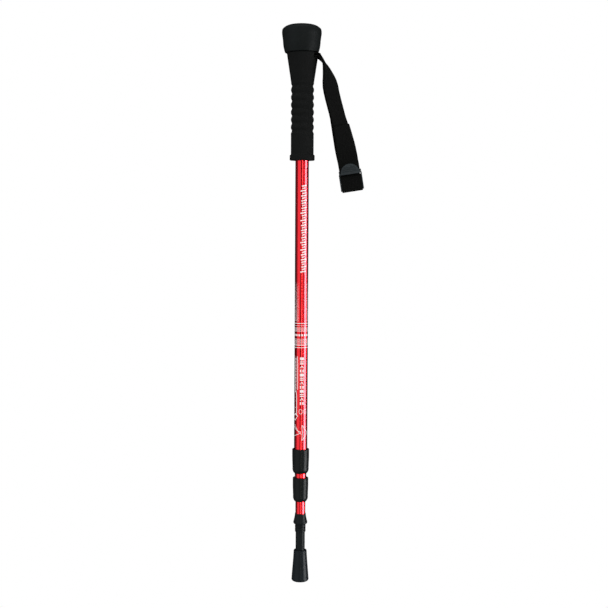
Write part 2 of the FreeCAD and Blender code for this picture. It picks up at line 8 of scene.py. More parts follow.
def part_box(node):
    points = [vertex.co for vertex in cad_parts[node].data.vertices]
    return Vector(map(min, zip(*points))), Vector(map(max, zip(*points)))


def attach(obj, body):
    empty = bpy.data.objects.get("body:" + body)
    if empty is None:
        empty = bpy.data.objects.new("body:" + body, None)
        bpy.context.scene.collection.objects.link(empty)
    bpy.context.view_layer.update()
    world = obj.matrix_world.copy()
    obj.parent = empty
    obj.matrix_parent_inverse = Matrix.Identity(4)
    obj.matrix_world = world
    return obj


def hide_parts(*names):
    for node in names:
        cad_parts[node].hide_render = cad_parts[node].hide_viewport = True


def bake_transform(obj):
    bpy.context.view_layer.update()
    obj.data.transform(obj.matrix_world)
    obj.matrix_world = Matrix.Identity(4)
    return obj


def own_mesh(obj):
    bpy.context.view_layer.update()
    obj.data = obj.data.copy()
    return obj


# Collapsed three-section pole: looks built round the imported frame. Metres, +Z up, strap towards +X.

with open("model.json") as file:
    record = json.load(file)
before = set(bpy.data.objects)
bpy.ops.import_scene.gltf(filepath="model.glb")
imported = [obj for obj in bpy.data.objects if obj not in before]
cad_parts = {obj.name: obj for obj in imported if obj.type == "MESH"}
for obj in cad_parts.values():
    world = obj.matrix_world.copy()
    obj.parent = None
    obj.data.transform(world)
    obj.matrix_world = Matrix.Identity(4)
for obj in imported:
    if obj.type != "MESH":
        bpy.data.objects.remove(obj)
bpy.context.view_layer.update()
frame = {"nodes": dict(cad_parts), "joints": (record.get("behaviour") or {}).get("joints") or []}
nodes = frame["nodes"]
joints = {j["name"]: j for j in frame["joints"]}
MM = 0.001
scene = bpy.context.scene


# ---- places read from the frame --------------------------------------------------------------
def low(node):
    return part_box(node)[0]


def high(node):
    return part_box(node)[1]


FOAM_LOW, FOAM_TOP = low("foam_grip").z, high("foam_grip").z
TUBE_R = high("upper_tube").x
HINGE = Vector(joints["strap_swing"]["pos_m"])
BAR = Vector(joints["buckle_release"]["pos_m"])
BAR_AXIS = Vector(joints["buckle_release"]["axis"]).normalized()


# ---- camera and stage ------------------------------------------------------------------------
IMAGE_WIDTH = 608
FOCAL_PIXELS = 1080.0
SENSOR = 36.0
CAMERA_PLACE = Vector((0.0031, -1.29, 0.4377))
CAMERA_PITCH = math.radians(4.4)
CAMERA_ROLL = math.radians(0.31)


def make_camera():
    data = bpy.data.cameras.new("camera")
    data.sensor_width = SENSOR
    data.lens = SENSOR * FOCAL_PIXELS / IMAGE_WIDTH
    data.clip_start = 0.01
    camera = bpy.data.objects.new("camera", data)
    turn = Matrix.Rotation(math.radians(90) - CAMERA_PITCH, 4, "X") @ Matrix.Rotation(CAMERA_ROLL, 4, "Z")
    camera.matrix_world = Matrix.Translation(CAMERA_PLACE) @ turn
    scene.collection.objects.link(camera)
    scene.camera = camera


def make_light(name, azimuth, distance, height, size, radiance, colour=(1, 1, 1), soft=False):
    """Softbox round the pole. Azimuth is in degrees from the camera's side towards +X."""
    data = bpy.data.lights.new(name, "AREA")
    data.shape = "RECTANGLE"
    data.size, data.size_y = size
    data.energy = radiance * math.pi * size[0] * size[1]
    light = bpy.data.objects.new(name, data)
    a = math.radians(azimuth)
    place = Vector((math.sin(a) * distance, -math.cos(a) * distance, height))
    aim = Vector((0, 0, 0.35)) - place
    light.rotation_mode = "QUATERNION"
    light.rotation_quaternion = aim.to_track_quat("-Z", "Y")
    light.location = place
    data.color = colour
    light.visible_camera = False
    light.visible_diffuse = soft
    scene.collection.objects.link(light)
    return light


def make_stage():
    world = bpy.data.worlds.new("studio")
    scene.world = world
    world.use_nodes = True
    world.node_tree.nodes["Background"].inputs[0].default_value = (1, 1, 1, 1)
    world.node_tree.nodes["Background"].inputs[1].default_value = 1.0
    world.cycles_visibility.glossy = False
    mesh = bpy.data.meshes.new("floor")
    half = 40.0
    corners = [(-half, -half, 0), (half, -half, 0), (half, half, 0), (-half, half, 0)]
    mesh.from_pydata(corners, [], [(0, 1, 2, 3)])
    floor = bpy.data.objects.new("floor", mesh)
    scene.collection.objects.link(floor)
    paint = bpy.data.materials.new("studio_floor")
    paint.use_nodes = True
    shader = paint.node_tree.nodes["Principled BSDF"]
    shader.inputs["Base Color"].default_value = (0, 0, 0, 1)
    shader.inputs["Roughness"].default_value = 0.9
    shader.inputs["Specular IOR Level"].default_value = 0.0
    shader.inputs["Emission Color"].default_value = (1, 1, 1, 1)
    shader.inputs["Emission Strength"].default_value = 1.0
    mesh.materials.append(paint)
    floor.visible_glossy = False


def make_lights():
    make_light("strip_right", 71, 1.6, -0.07, (1.02, 1.5), 19.0)
    make_light("softbox_left", -48, 1.6, 0.3, (1.75, 3.4), 1.35)
    make_light("edge_left", -100, 1.6, 0.3, (0.9, 3.4), 0.25)
    make_light("strip_front", 8, 2.2, 0.3, (0.24, 3.4), 9.0, (1.0, 0.9, 0.7))
    make_light("fill_front", -10, 2.3, 0.3, (0.6, 3.4), 0.22)
    make_light("fill_right", 31, 2.2, 0.3, (0.8, 3.4), 1.0)
    make_light("edge_right", 116, 1.6, 0.3, (1.0, 3.4), 0.3)
    make_light("top_light", 0, 0.3, 2.0, (1.2, 1.2), 3.5, soft=True)


# ---- node helpers ----------------------------------------------------------------------------
def new_material(name, base, roughness, metallic=0.0, specular=0.5, coat=0.0, coat_roughness=0.1,
                 sheen=0.0):
    material = bpy.data.materials.new(name)
    material.use_nodes = True
    shader = material.node_tree.nodes["Principled BSDF"]
    shader.inputs["Base Color"].default_value = (*base, 1)
    shader.inputs["Roughness"].default_value = roughness
    shader.inputs["Metallic"].default_value = metallic
    shader.inputs["Specular IOR Level"].default_value = specular
    shader.inputs["Coat Weight"].default_value = coat
    shader.inputs["Coat Roughness"].default_value = coat_roughness
    shader.inputs["Sheen Weight"].default_value = sheen
    return material, shader


def add(material, kind, **settings):
    node = material.node_tree.nodes.new(kind)
    for key, value in settings.items():
        setattr(node, key, value)
    return node


def link(material, source, target):
    material.node_tree.links.new(source, target)


def place_of(material, scale=(1, 1, 1)):
    """Object position, stretched along each axis."""
    coordinates = add(material, "ShaderNodeTexCoord")
    mapping = add(material, "ShaderNodeMapping")
    mapping.inputs["Scale"].default_value = scale
    link(material, coordinates.outputs["Object"], mapping.inputs["Vector"])
    return mapping.outputs["Vector"]


def noise(material, vector, scale, detail=3.0, rough=0.5):
    node = add(material, "ShaderNodeTexNoise")
    node.inputs["Scale"].default_value = scale
    node.inputs["Detail"].default_value = detail
    node.inputs["Roughness"].default_value = rough
    link(material, vector, node.inputs["Vector"])
    return node.outputs["Fac"]


def spread(material, value, from_range, to_range):
    node = add(material, "ShaderNodeMapRange")
    node.inputs["From Min"].default_value = from_range[0]
    node.inputs["From Max"].default_value = from_range[1]
    node.inputs["To Min"].default_value = to_range[0]
    node.inputs["To Max"].default_value = to_range[1]
    link(material, value, node.inputs["Value"])
    return node.outputs["Result"]


def tint(material, value, dark, light):
    ramp = add(material, "ShaderNodeValToRGB")
    ramp.color_ramp.elements[0].color = (*dark, 1)
    ramp.color_ramp.elements[1].color = (*light, 1)
    link(material, value, ramp.inputs["Fac"])
    return ramp.outputs["Color"]


def bump(material, shader, heights):
    """Chain of (height socket, depth in metres)."""
    normal = None
    for height, depth in heights:
        node = add(material, "ShaderNodeBump")
        node.inputs["Strength"].default_value = 1.0
        node.inputs["Distance"].default_value = depth
        link(material, height, node.inputs["Height"])
        if normal is not None:
            link(material, normal, node.inputs["Normal"])
        normal = node.outputs["Normal"]
    link(material, normal, shader.inputs["Normal"])


# ---- materials -------------------------------------------------------------------------------
def foam_material():
    material, shader = new_material("grip_foam", (0.006, 0.0065, 0.0065), 0.8, specular=0.04)
    place = place_of(material)
    pores = add(material, "ShaderNodeTexVoronoi")
    pores.inputs["Scale"].default_value = 1500.0
    link(material, place, pores.inputs["Vector"])
    cells = spread(material, pores.outputs["Distance"], (0.0, 0.6), (0.0, 1.0))
    cloud = noise(material, place, 90.0, 4.0)
    shade = tint(material, cloud, (0.0045, 0.005, 0.005), (0.0075, 0.008, 0.008))
    link(material, shade, shader.inputs["Base Color"])
    worn = spread(material, noise(material, place, 400.0), (0.3, 0.7), (0.74, 0.9))
    link(material, worn, shader.inputs["Roughness"])
    bump(material, shader, [(cells, 0.00012), (cloud, 0.0002)])
    return material


def moulded_material(name, base, roughness, specular, grain=0.00002, grain_scale=2600.0):
    """Moulded plastic or rubber: fine spark grain, faint flow clouds and rubbed patches."""
    material, shader = new_material(name, base, roughness, specular=specular)
    place = place_of(material)
    cloud = noise(material, place, 60.0, 3.0)
    light = tuple(c * 1.45 for c in base)
    dark = tuple(c * 0.8 for c in base)
    link(material, tint(material, cloud, dark, light), shader.inputs["Base Color"])
    rubbed = noise(material, place, 140.0, 5.0, 0.65)
    link(material, spread(material, rubbed, (0.3, 0.7), (roughness - 0.06, roughness + 0.08)),
         shader.inputs["Roughness"])
    bump(material, shader, [(noise(material, place, grain_scale, 2.0), grain)])
    return material


def anodised_material():
    """Bright red anodised tube: drawn along its length, with faint fine scratches."""
    material, shader = new_material("red_anodised", (0.62, 0.010, 0.018), 0.14, metallic=1.0, coat=0.3,
                                    coat_roughness=0.06)
    shader.inputs["Coat IOR"].default_value = 1.6
    drawn = noise(material, place_of(material, (1, 1, 0.02)), 2200.0, 2.0)
    cloud = noise(material, place_of(material), 30.0, 2.0)
    shade = tint(material, cloud, (0.60, 0.007, 0.014), (0.68, 0.010, 0.020))
    link(material, shade, shader.inputs["Base Color"])
    link(material, spread(material, drawn, (0.3, 0.7), (0.10, 0.17)), shader.inputs["Roughness"])
    bump(material, shader, [(drawn, 0.000002)])
    return material


def metal_material(name, base, roughness):
    material, shader = new_material(name, base, roughness, metallic=1.0)
    turned = noise(material, place_of(material, (1, 1, 12)), 900.0, 3.0)
    link(material, spread(material, turned, (0.3, 0.7), (roughness - 0.08, roughness + 0.12)),
         shader.inputs["Roughness"])
    link(material, tint(material, turned, tuple(c * 0.85 for c in base), base), shader.inputs["Base Color"])
    bump(material, shader, [(turned, 0.000004)])
    return material


def webbing_material():
    """Black webbing: herringbone ribs from the piece's own cut-out coordinates, in metres."""
    material, shader = new_material("webbing", (0.003, 0.003, 0.003), 0.8, specular=0.03, sheen=0.004)
    shader.inputs["Sheen Roughness"].default_value = 0.5
    cut = add(material, "ShaderNodeUVMap", uv_map="cut")
    split = add(material, "ShaderNodeSeparateXYZ")
    link(material, cut.outputs["UV"], split.inputs["Vector"])
    fold = add(material, "ShaderNodeMath", operation="PINGPONG")
    fold.inputs[1].default_value = 0.0024
    link(material, split.outputs["X"], fold.inputs[0])
    slant = add(material, "ShaderNodeMath", operation="ADD")
    link(material, fold.outputs[0], slant.inputs[0])
    link(material, split.outputs["Y"], slant.inputs[1])
    turn = add(material, "ShaderNodeMath", operation="MULTIPLY")
    turn.inputs[1].default_value = 2 * math.pi / 0.0011
    link(material, slant.outputs[0], turn.inputs[0])
    rib = add(material, "ShaderNodeMath", operation="SINE")
    link(material, turn.outputs[0], rib.inputs[0])
    ends = add(material, "ShaderNodeMath", operation="MULTIPLY")
    ends.inputs[1].default_value = 2 * math.pi / 0.0008
    link(material, split.outputs["X"], ends.inputs[0])
    warp = add(material, "ShaderNodeMath", operation="SINE")
    link(material, ends.outputs[0], warp.inputs[0])
    fuzz = noise(material, place_of(material), 3500.0, 2.0)
    weave = spread(material, rib.outputs[0], (-1.0, 1.0), (0.0, 1.0))
    link(material, tint(material, weave, (0.0012, 0.0013, 0.0012), (0.0042, 0.0045, 0.0042)),
         shader.inputs["Base Color"])
    bump(material, shader, [(rib.outputs[0], 0.00005), (warp.outputs[0], 0.00003), (fuzz, 0.00003)])
    return material


def print_material():
    material, shader = new_material("white_print", (0.85, 0.83, 0.83), 0.4, specular=0.4)
    worn = noise(material, place_of(material), 500.0, 4.0, 0.6)
    link(material, tint(material, worn, (0.74, 0.68, 0.68), (0.9, 0.88, 0.88)), shader.inputs["Base Color"])
    bump(material, shader, [(worn, 0.000003)])
    return material


def make_materials():
    black = (0.0065, 0.0080, 0.0082)
    return {
        "foam": foam_material(),
        "cap": moulded_material("cap_rubber", (0.0068, 0.0082, 0.0084), 0.5, 0.025, 0.00004, 1800.0),
        "collar": moulded_material("collar_plastic", black, 0.27, 0.055),
        "plastic": moulded_material("ferrule_plastic", (0.0070, 0.0090, 0.0098), 0.34, 0.04),
        "foot": moulded_material("foot_rubber", (0.0070, 0.0098, 0.0120), 0.32, 0.06, 0.00003, 2000.0),
        "buckle": moulded_material("buckle_plastic", (0.018, 0.023, 0.026), 0.45, 0.06),
        "nylon": moulded_material("natural_nylon", (0.62, 0.60, 0.54), 0.45, 0.45),
        "red": anodised_material(),
        "steel": metal_material("zinc_steel", (0.55, 0.55, 0.57), 0.32),
        "carbide": metal_material("carbide", (0.25, 0.25, 0.27), 0.3),
        "web": webbing_material(),
        "print": print_material(),
    }


NODE_LOOKS = {
    "grip_cap": "cap", "grip_core": "plastic", "strap_pin": "steel",
    "upper_collar": "collar", "upper_expander": "nylon", "upper_cone": "plastic", "middle_plug": "plastic",
    "upper_stud": "steel", "upper_stop": "steel", "lower_collar": "collar",
    "lower_expander": "nylon", "lower_cone": "plastic", "shock_rod": "steel", "lower_stop": "steel",
    "spring_seat": "steel", "rod_retainer": "steel", "shock_guide": "nylon", 
    "tip_ferrule": "plastic", "carbide_tip": "carbide", "rubber_foot": "foot", "foot_washer": "steel",
}


def dress_nodes(looks):
    for name, look in NODE_LOOKS.items():
        node = nodes[name]
        if not node.data.materials:
            node.data.materials.append(looks[look])
        for k in range(len(node.data.materials)):
            node.data.materials[k] = looks[look]


# ---- mesh helpers ----------------------------------------------------------------------------
def mesh_object(name, points, faces, material, smooth=True):
    mesh = bpy.data.meshes.new(name)
    mesh.from_pydata([tuple(p) for p in points], [], faces)
    mesh.validate()
    piece = bpy.data.objects.new(name, mesh)
    scene.collection.objects.link(piece)
    mesh.materials.append(material)
    if smooth:
        mesh.polygons.foreach_set("use_smooth", [True] * len(mesh.polygons))
    return piece


def apply_modifiers(piece):
    """Makes the shape that the modifiers give the piece's own mesh."""
    depsgraph = bpy.context.evaluated_depsgraph_get()
    shaped = bpy.data.meshes.new_from_object(piece.evaluated_get(depsgraph), depsgraph=depsgraph)
    piece.modifiers.clear()
    piece.data = shaped
    return piece


def lathe(name, outline, material, around=144):
    """Closed solid of revolution about Z from a closed (r, z) outline."""
    points = []
    for k in range(around):
        a = 2 * math.pi * k / around
        points += [(r * math.cos(a), r * math.sin(a), z) for r, z in outline]
    count = len(outline)
    faces = []
    for k in range(around):
        here, there = k * count, (k + 1) % around * count
        for i in range(count):
            j = (i + 1) % count
            faces.append((here + i, there + i, there + j, here + j))
    return mesh_object(name, points, faces, material)


def between(table, key):
    """Straight-line interpolation in a short (key, value) table with rising keys."""
    if key <= table[0][0]:
        return table[0][1]
    for (low_key, a), (high_key, b) in zip(table, table[1:]):
        if key <= high_key:
            return a + (b - a) * (key - low_key) / (high_key - low_key)
    return table[-1][1]


# ---- tubes -----------------------------------------------------------------------------------
TUBE_WALL = 0.7 * MM


def make_tube(name, body, material):
    """Tube redrawn as a fine lathe with eased ends, in place of its solid."""
    bottom, top, outer = low(name).z, high(name).z, high(name).x
    inner = outer - TUBE_WALL
    ease = 0.15 * MM
    stations = [bottom + 0.6 * MM + (top - bottom - 1.2 * MM) * k / 24 for k in range(25)]
    outline = [(outer - ease, bottom), (outer, bottom + ease)]
    outline += [(outer, z) for z in stations]
    outline += [(outer, top - ease), (outer - ease, top), (inner + ease, top), (inner, top - ease)]
    outline += [(inner, z) for z in reversed(stations)]
    outline += [(inner, bottom + ease), (inner + ease, bottom)]
    tube = lathe(name + "_skin", outline, material, 160)
    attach(tube, body)
    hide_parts(name)


# ---- grip ------------------------------------------------------------------------------------
GRIP_R = 13.5 * MM
GRIP_MOUTH_R = 18.75 * MM
FLARE_BOTTOM = 600.2 * MM
GROOVE_COUNT = 7
GROOVE_PITCH = 8.7 * MM
GROOVE_DEPTH = 1.15 * MM
TOP_GROOVE = 596.0 * MM
FLANGE_TOP = 515.6 * MM
FLANGE_R = 14.8 * MM
SLOT_HALF_WIDTH = 12.5 * MM
SLOT_DROP = 3.4 * MM
CORE_R = 15.0 * MM


def foam_radius(z):
    """Outside of the foam at a height above its flange."""
    if z > FLARE_BOTTOM:
        share = (z - FLARE_BOTTOM) / (FOAM_TOP - FLARE_BOTTOM)
        return GRIP_R + (GRIP_MOUTH_R - GRIP_R) * share
    last = TOP_GROOVE - (GROOVE_COUNT - 1) * GROOVE_PITCH
    if last - GROOVE_PITCH / 2 < z < TOP_GROOVE + GROOVE_PITCH / 2:
        wave = 0.5 + 0.5 * math.cos(2 * math.pi * (z - TOP_GROOVE) / GROOVE_PITCH)
        return GRIP_R + 0.12 * MM - GROOVE_DEPTH * wave ** 1.6
    return GRIP_R


def make_foam(material):
    outline = []
    flange_low, flange_round = FOAM_LOW, 0.9 * MM
    for k in range(7):
        a = math.radians(-90 + 90 * k / 6)
        outline.append((FLANGE_R - flange_round + flange_round * math.cos(a),
                        flange_low + flange_round + flange_round * math.sin(a)))
    for k in range(7):
        a = math.radians(90 * k / 6)
        outline.append((FLANGE_R - flange_round + flange_round * math.cos(a),
                        FLANGE_TOP - flange_round + flange_round * math.sin(a)))
    z = FLANGE_TOP + 0.5 * MM
    while z < FOAM_TOP - 1.2 * MM:
        outline.append((foam_radius(z), z))
        z += 0.55 * MM
    rim = 0.9 * MM
    for k in range(7):
        a = math.radians(90 * k / 6)
        outline.append((GRIP_MOUTH_R - 0.1 * MM - rim + rim * math.cos(a),
                        FOAM_TOP - rim + rim * math.sin(a)))
    head = high("upper_tube").z
    outline += [(CORE_R, FOAM_TOP), (CORE_R, head), (TUBE_R, head), (TUBE_R, flange_low)]
    foam = lathe("foam_grip_skin", outline, material)
    cutter = bpy.data.meshes.new("slot_cutter")
    bm = bmesh.new()
    bmesh.ops.create_cube(bm, size=1.0)
    floor_z = HINGE.z - SLOT_DROP
    for vertex in bm.verts:
        vertex.co = Vector((0.017 + vertex.co.x * 0.018, vertex.co.y * 2 * SLOT_HALF_WIDTH,
                            (floor_z + FOAM_TOP + 0.004) / 2 + vertex.co.z * (FOAM_TOP + 0.004 - floor_z)))
    bm.to_mesh(cutter)
    bm.free()
    tool = bpy.data.objects.new("slot_cutter", cutter)
    scene.collection.objects.link(tool)
    cut = foam.modifiers.new("slot", "BOOLEAN")
    cut.object = tool
    cut.operation = "DIFFERENCE"
    apply_modifiers(foam)
    bpy.data.objects.remove(tool)
    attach(foam, "handle")
    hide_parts("foam_grip")


# ---- strap -----------------------------------------------------------------------------------
# Millimetres, the same route as the solid webbing: out from the hinge, and drop below it.
WEB_WIDTH = 24.0 * MM
WEB_THICK = 1.6 * MM
SEWN_WIDTH = WEB_WIDTH + 0.6 * MM     # sewn end, drawn slightly wider than the legs
PIN_R = 1.5 * MM
PIN_X = 3.0 * MM
HINGE_GAP = 3.3 * MM
STRAP_ROUTE = [(0, 0), (6.4, 8.1), (11.8, 23.7), (15.7, 43.7), (22.7, 70.2), (29.1, 96.2), (35.1, 122.1),
               (37.5, 135.2)]
STRAP_TURN = [(0, 90), (8, 85), (15, 73), (22, 62), (29, 50), (36, 43), (71, 43), (85, 34), (99, 24),
              (113, 8), (124, 1), (136, 0)]
HALF_SPREAD = [(0, 1.5), (2, 1.1), (5, 0.9), (72, 0.95), (85, 1.2), (99, 1.7), (113, 2.8), (124, 3.6),
               (136, 3.8)]
TAIL_DROP = 79.1
BAR_TO_WEB = 2.2 * MM
SEWN_RADIUS = 1.9 * MM
SEWN_DROP = 21.5 * MM
SEWN_FRONT_DROP = 4.4 * MM


def smooth_route(points, steps):
    """Points along a curve through the route's points, with tangents (centripetal Catmull-Rom)."""
    knots = [Vector((HINGE.x + out * MM, 0, HINGE.z - drop * MM)) for out, drop in points]
    knots = [knots[0] * 2 - knots[1]] + knots + [knots[-1] * 2 - knots[-2]]
    line = []
    for i in range(1, len(knots) - 2):
        p0, p1, p2, p3 = knots[i - 1:i + 3]
        t1 = (p1 - p0).length ** 0.5
        t2 = t1 + (p2 - p1).length ** 0.5
        t3 = t2 + (p3 - p2).length ** 0.5
        for k in range(steps):
            t = t1 + (t2 - t1) * k / steps
            a1 = p0 * ((t1 - t) / t1) + p1 * (t / t1)
            a2 = p1 * ((t2 - t) / (t2 - t1)) + p2 * ((t - t1) / (t2 - t1))
            a3 = p2 * ((t3 - t) / (t3 - t2)) + p3 * ((t - t2) / (t3 - t2))
            b1 = a1 * ((t2 - t) / t2) + a2 * (t / t2)
            b2 = a2 * ((t3 - t) / (t3 - t1)) + a3 * ((t - t1) / (t3 - t1))
            line.append(b1 * ((t2 - t) / (t2 - t1)) + b2 * ((t - t1) / (t2 - t1)))
    line.append(knots[-2])
    return line


def leg_stations(side, extra=0.0):
    """(centre, across, normal) down one leg: +1 is the front leg, -1 the back leg."""
    line = smooth_route(STRAP_ROUTE, 14)
    stations = []
    for k, centre in enumerate(line):
        along = (line[min(k + 1, len(line) - 1)] - line[max(k - 1, 0)]).normalized()
        drop = (HINGE.z - centre.z) / MM
        turn = math.radians(between(STRAP_TURN, drop))
        in_plane = along.cross(Vector((0, 1, 0)))
        if in_plane.x < 0:
            in_plane = -in_plane
        across = in_plane * math.cos(turn) + Vector((0, 1, 0)) * math.sin(turn)
        normal = along.cross(across)
        offset = side * between(HALF_SPREAD, drop) * MM + extra
        stations.append((centre + normal * offset, across, normal))
    return stations


def bar_frame():
    """Along the strap (down), across and out to the front, at the buckle's middle bar."""
    line = smooth_route(STRAP_ROUTE, 14)
    along = (line[-1] - line[-2]).normalized()
    across = BAR_AXIS
    along = (along - across * along.dot(across)).normalized()
    return along, across, along.cross(across)


ALONG, ACROSS, FRONT = bar_frame()


def beside_bar(up, front):
    return BAR - ALONG * up + FRONT * front


def arc_stations(up, front, radius, first, last, steps=14):
    """Round an arc across the strap; angles in degrees from straight up, turning to the front."""
    stations = []
    for k in range(steps + 1):
        a = math.radians(first + (last - first) * k / steps)
        normal = ALONG * -math.cos(a) + FRONT * math.sin(a)
        place = beside_bar(up + radius * math.cos(a), front + radius * math.sin(a))
        stations.append((place, ACROSS, normal))
    return stations


def pin_stations(first, last, steps=14):
    """Round the pin in the grip; angles in degrees from straight up, turning to -X."""
    stations = []
    radius = PIN_R + WEB_THICK / 2
    for k in range(steps + 1):
        a = math.radians(first + (last - first) * k / steps)
        normal = Vector((-math.sin(a), 0, math.cos(a)))
        place = Vector((PIN_X, 0, HINGE.z)) + normal * radius
        stations.append((place, Vector((0, 1, 0)), normal))
    return stations


def webbing(name, stations, material, width=WEB_WIDTH, thick=WEB_THICK):
    """Woven strap through the stations: rounded selvedges and closed ends."""
    section = []
    cells = 16
    edge = thick * 0.5
    flat_half = width / 2 - edge
    for k in range(cells + 1):
        a = -flat_half + 2 * flat_half * k / cells
        section.append((a, -thick / 2))
    for k in range(1, 6):
        t = math.radians(-90 + 180 * k / 6)
        section.append((flat_half + edge * math.cos(t), edge * math.sin(t)))
    for k in range(cells + 1):
        a = flat_half - 2 * flat_half * k / cells
        section.append((a, thick / 2))
    for k in range(1, 6):
        t = math.radians(90 + 180 * k / 6)
        section.append((-flat_half + edge * math.cos(t), edge * math.sin(t)))
    around = [0.0]
    for (a0, n0), (a1, n1) in zip(section, section[1:] + section[:1]):
        around.append(around[-1] + math.hypot(a1 - a0, n1 - n0))
    points, along = [], [0.0]
    for (c0, _, _), (c1, _, _) in zip(stations, stations[1:]):
        along.append(along[-1] + (c1 - c0).length)
    for centre, across, normal in stations:
        points += [centre + across * a + normal * n for a, n in section]
    count = len(section)
    faces, cut = [], []
    for k in range(len(stations) - 1):
        for i in range(count):
            j = (i + 1) % count
            faces.append((k * count + i, k * count + j, (k + 1) * count + j, (k + 1) * count + i))
            cut.append(((around[i], along[k]), (around[i + 1], along[k]),
                        (around[i + 1], along[k + 1]), (around[i], along[k + 1])))
    last = (len(stations) - 1) * count
    faces.append(tuple(range(count - 1, -1, -1)))
    cut.append([section[i] for i in range(count - 1, -1, -1)])
    faces.append(tuple(range(last, last + count)))
    cut.append([section[i] for i in range(count)])
    piece = mesh_object(name, points, faces, material)
    layer = piece.data.uv_layers.new(name="cut")
    flat = [place for face in cut for place in face]
    if len(flat) == len(layer.data):
        layer.data.foreach_set("uv", [x for place in flat for x in place])
    bm = bmesh.new()
    bm.from_mesh(piece.data)
    bmesh.ops.recalc_face_normals(bm, faces=bm.faces)
    bm.to_mesh(piece.data)
    bm.free()
    return piece, along[-1]


def turned_normals(stations):
    return [(place, across, -normal) for place, across, normal in stations]


def make_strap(material):
    front = leg_stations(1)
    back = leg_stations(-1)
    run_x = [HINGE.x - HINGE_GAP * 3, HINGE.x - HINGE_GAP * 2, HINGE.x - HINGE_GAP]
    across = Vector((0, 1, 0))
    up = Vector((0, 0, 1))
    reach = PIN_R + WEB_THICK / 2
    closing = [reach, reach - 0.2 * MM, reach - 0.5 * MM]
    upper_run = [(Vector((x, 0, HINGE.z + rise)), across, up) for x, rise in zip(run_x, closing)]
    lower_run = [(Vector((x, 0, HINGE.z - rise)), across, -up) for x, rise in zip(run_x, closing)]

    # Load strand: over the pin and down the front leg to the buckle's middle bar.
    piece, length = webbing("strap_load_strand", pin_stations(90, 0, 8) + upper_run + front, material)
    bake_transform(piece)
    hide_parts("strap_anchor", "wrist_strap")

    # Free tail: round the bar and up the front, over the load strand.
    path = [front[-1]] + arc_stations(0, 0, BAR_TO_WEB, 270, 90)[1:]
    for rise, out in ((2.6, 1.95), (5.0, 1.0), (8.0, 0.3)):
        path.append((beside_bar(rise * MM, out * MM), ACROSS, FRONT))
    path += [s for s in reversed(leg_stations(1, WEB_THICK + 0.15 * MM))
             if BAR.z + 11 * MM < s[0].z < HINGE.z - TAIL_DROP * MM]
    piece, length = webbing("strap_tail_end", path, material)
    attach(piece, "strap")
    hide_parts("strap_tail")

    # Back leg, then under the buckle's lower bar and up in front of it, as one sewn end.
    path = turned_normals(pin_stations(90, 180, 8)) + turned_normals(lower_run) + back
    depth = 2 * HALF_SPREAD[-1][1] * MM + BAR_TO_WEB
    for rise, inward, lean in ((-2.0, 0.7, 20), (-4.0, 1.9, 35), (-5.6, 3.4, 45)):
        normal = FRONT * math.cos(math.radians(lean)) - ALONG * math.sin(math.radians(lean))
        path.append((beside_bar(rise * MM, inward * MM - depth), ACROSS, normal))
    piece, length = webbing("strap_back_leg", path, material)
    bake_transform(piece)
    path = path[-1:]
    for rise, out, lean in ((-7.2, -4.8, 45), (-9.2, -3.1, 38), (-11.0, -2.1, 20), (-13.5, -1.9, 0)):
        normal = FRONT * math.cos(math.radians(lean)) - ALONG * math.sin(math.radians(lean))
        path.append((beside_bar(rise * MM, out * MM), ACROSS, normal))
    path += turned_normals(arc_stations(-SEWN_DROP, 0, SEWN_RADIUS, 270, 90))
    path += [(beside_bar(-drop * MM, SEWN_RADIUS), ACROSS, -FRONT) for drop in (18.0, 14.0, 10.0, 7.0)]
    path.append((beside_bar(-SEWN_FRONT_DROP, SEWN_RADIUS), ACROSS, -FRONT))
    piece, length = webbing("strap_sewn_loop", path, material, SEWN_WIDTH)
    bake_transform(piece)
    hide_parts("strap_sewn_end")


# ---- spring ----------------------------------------------------------------------------------
def make_spring(material):
    bottom, top = low("shock_spring").z, high("shock_spring").z
    outer = high("shock_spring").x
    wire = 0.8 * MM
    turns = 8
    rings = []
    steps = turns * 28
    for k in range(steps + 1):
        a = 2 * math.pi * turns * k / steps
        z = bottom + wire + (top - bottom - 2 * wire) * k / steps
        rings.append((a, z))
    points, faces = [], []
    for a, z in rings:
        radial = Vector((math.cos(a), math.sin(a), 0))
        for i in range(10):
            t = 2 * math.pi * i / 10
            lift = Vector((0, 0, z + wire * math.sin(t)))
            points.append(radial * (outer - wire + wire * math.cos(t)) + lift)
    for k in range(steps):
        for i in range(10):
            j = (i + 1) % 10
            faces.append((k * 10 + i, k * 10 + j, (k + 1) * 10 + j, (k + 1) * 10 + i))
    faces.append(tuple(range(9, -1, -1)))
    faces.append(tuple(range(steps * 10, steps * 10 + 10)))
    spring = mesh_object("coil_spring", points, faces, material)
    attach(spring, "shock_core")
    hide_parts("shock_spring")
    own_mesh(spring)


# ---- buckle ----------------------------------------------------------------------------------
def softened(node_name, new_name, edge, material, body):
    """The node's own shape with its sharp edges rounded."""
    mesh = nodes[node_name].data.copy()
    mesh.transform(nodes[node_name].matrix_world)
    bm = bmesh.new()
    bm.from_mesh(mesh)
    bmesh.ops.remove_doubles(bm, verts=bm.verts, dist=1e-6)
    bmesh.ops.dissolve_limit(bm, angle_limit=math.radians(2), verts=bm.verts, edges=bm.edges)
    bm.to_mesh(mesh)
    bm.free()
    mesh.materials.clear()
    mesh.materials.append(material)
    piece = bpy.data.objects.new(new_name, mesh)
    scene.collection.objects.link(piece)
    bevel = piece.modifiers.new("edges", "BEVEL")
    bevel.width = edge
    bevel.segments = 3
    bevel.limit_method = "ANGLE"
    bevel.angle_limit = math.radians(40)
    bevel.harden_normals = False
    apply_modifiers(piece)
    piece.data.polygons.foreach_set("use_smooth", [True] * len(piece.data.polygons))
    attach(piece, body)
    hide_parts(node_name)
    return piece


